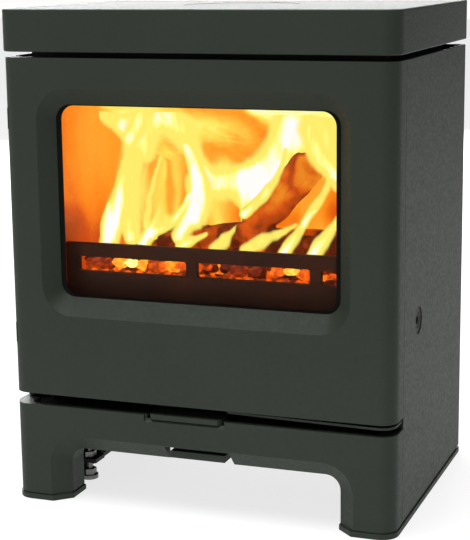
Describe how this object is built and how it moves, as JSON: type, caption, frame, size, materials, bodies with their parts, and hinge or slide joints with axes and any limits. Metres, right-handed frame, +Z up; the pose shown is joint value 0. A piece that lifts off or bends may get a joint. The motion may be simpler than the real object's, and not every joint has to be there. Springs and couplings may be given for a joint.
{
  "type": "wood burning stove",
  "caption": "Small free-standing wood burning stove with a bevelled glass door, deep lid, arched base, air and riddling tabs and a rear flue collar.",
  "frame": {"origin": "on the floor, under the middle of the whole object's box", "axes": "+X to the right seen from the front, +Y from the door towards the flue collar at the back, +Z up"},
  "size_m": [0.484, 0.3826, 0.597],
  "materials": {
    "stove_paint": "satin high-temperature paint, dark grey-green",
    "black_steel": "matt black high-temperature paint",
    "cast_iron": "rough, heat-darkened",
    "firebrick": "matt pressed vermiculite",
    "rope_seal": "knitted glass-fibre rope",
    "stove_glass": "clear glass ceramic",
    "zinc_steel": "zinc plated",
    "pan_steel": "bare sheet, ash-dulled"
  },
  "bodies": {
    "root": {"top_plate": "stove_paint", "top_blanking_disc": "stove_paint", "left_side_panel": "stove_paint", "right_side_panel": "stove_paint", "base_front": "stove_paint", "left_foot_runner": "stove_paint", "right_foot_runner": "stove_paint", "slot_trim": "stove_paint", "rear_panel": "black_steel", "flue_collar": "black_steel", "base_left_plate": "black_steel", "base_right_plate": "black_steel", "base_rear_plate": "black_steel", "base_top_plate": "black_steel", "firebox_body": "black_steel", "airwash_plate": "black_steel", "grate_rail_left": "black_steel", "grate_rail_right": "black_steel", "hinge_bracket_lower": "black_steel", "hinge_bracket_upper": "black_steel", "latch_bush": "black_steel", "air_box": "black_steel", "riddle_guide": "black_steel", "bottom_grate": "cast_iron", "log_guard": "cast_iron", "firebrick_left": "firebrick", "firebrick_right": "firebrick", "firebrick_rear": "firebrick", "throat_plate": "firebrick", "hinge_pin_lower": "zinc_steel", "hinge_pin_upper": "zinc_steel", "lock_nut_front_left": "zinc_steel", "lock_nut_front_right": "zinc_steel", "lock_nut_rear_left": "zinc_steel", "lock_nut_rear_right": "zinc_steel", "panel_screw_left_1": "zinc_steel", "panel_screw_left_2": "zinc_steel", "panel_screw_left_3": "zinc_steel", "panel_screw_right_1": "zinc_steel", "panel_screw_right_2": "zinc_steel", "panel_screw_right_3": "zinc_steel", "ash_pan": "pan_steel"},
    "door": {"door_frame": "stove_paint", "door_glass": "stove_glass", "glass_gasket": "rope_seal", "door_rope_seal": "rope_seal", "door_striker": "zinc_steel", "glass_clip_bottom_left": "zinc_steel", "glass_clip_bottom_right": "zinc_steel", "glass_clip_top_left": "zinc_steel", "glass_clip_top_right": "zinc_steel"},
    "latch": {"latch_spindle": "black_steel", "latch_hook": "zinc_steel"},
    "air_control": {"air_slide": "stove_paint"},
    "riddler": {"riddle_slide": "stove_paint", "riddling_grate": "cast_iron"},
    "foot_front_left": {"levelling_foot_front_left": "zinc_steel"},
    "foot_front_right": {"levelling_foot_front_right": "zinc_steel"},
    "foot_rear_left": {"levelling_foot_rear_left": "zinc_steel"},
    "foot_rear_right": {"levelling_foot_rear_right": "zinc_steel"}
  },
  "joints": [
    {"name": "door_hinge", "type": "hinge", "parent": "root", "child": "door", "pos_m": [-0.226, -0.172, 0.34], "axis": [0, 0, -1], "range_deg": [0, 105]},
    {"name": "latch_turn", "type": "hinge", "parent": "root", "child": "latch", "pos_m": [0.232, -0.08, 0.234], "axis": [1, 0, 0], "range_deg": [0, 25]},
    {"name": "air_control_slide", "type": "slide", "parent": "root", "child": "air_control", "axis": [0, -1, 0], "range_m": [0, 0.03]},
    {"name": "riddling_slide", "type": "slide", "parent": "root", "child": "riddler", "axis": [0, -1, 0], "range_m": [0, 0.025]},
    {"name": "foot_screw_front_left", "type": "hinge", "parent": "root", "child": "foot_front_left", "pos_m": [-0.186, -0.096, 0.02], "axis": [0, 0, 1], "continuous": true},
    {"name": "foot_screw_front_right", "type": "hinge", "parent": "root", "child": "foot_front_right", "pos_m": [0.186, -0.096, 0.02], "axis": [0, 0, 1], "continuous": true},
    {"name": "foot_screw_rear_left", "type": "hinge", "parent": "root", "child": "foot_rear_left", "pos_m": [-0.186, 0.08, 0.02], "axis": [0, 0, 1], "continuous": true},
    {"name": "foot_screw_rear_right", "type": "hinge", "parent": "root", "child": "foot_rear_right", "pos_m": [0.186, 0.08, 0.02], "axis": [0, 0, 1], "continuous": true}
  ]
}
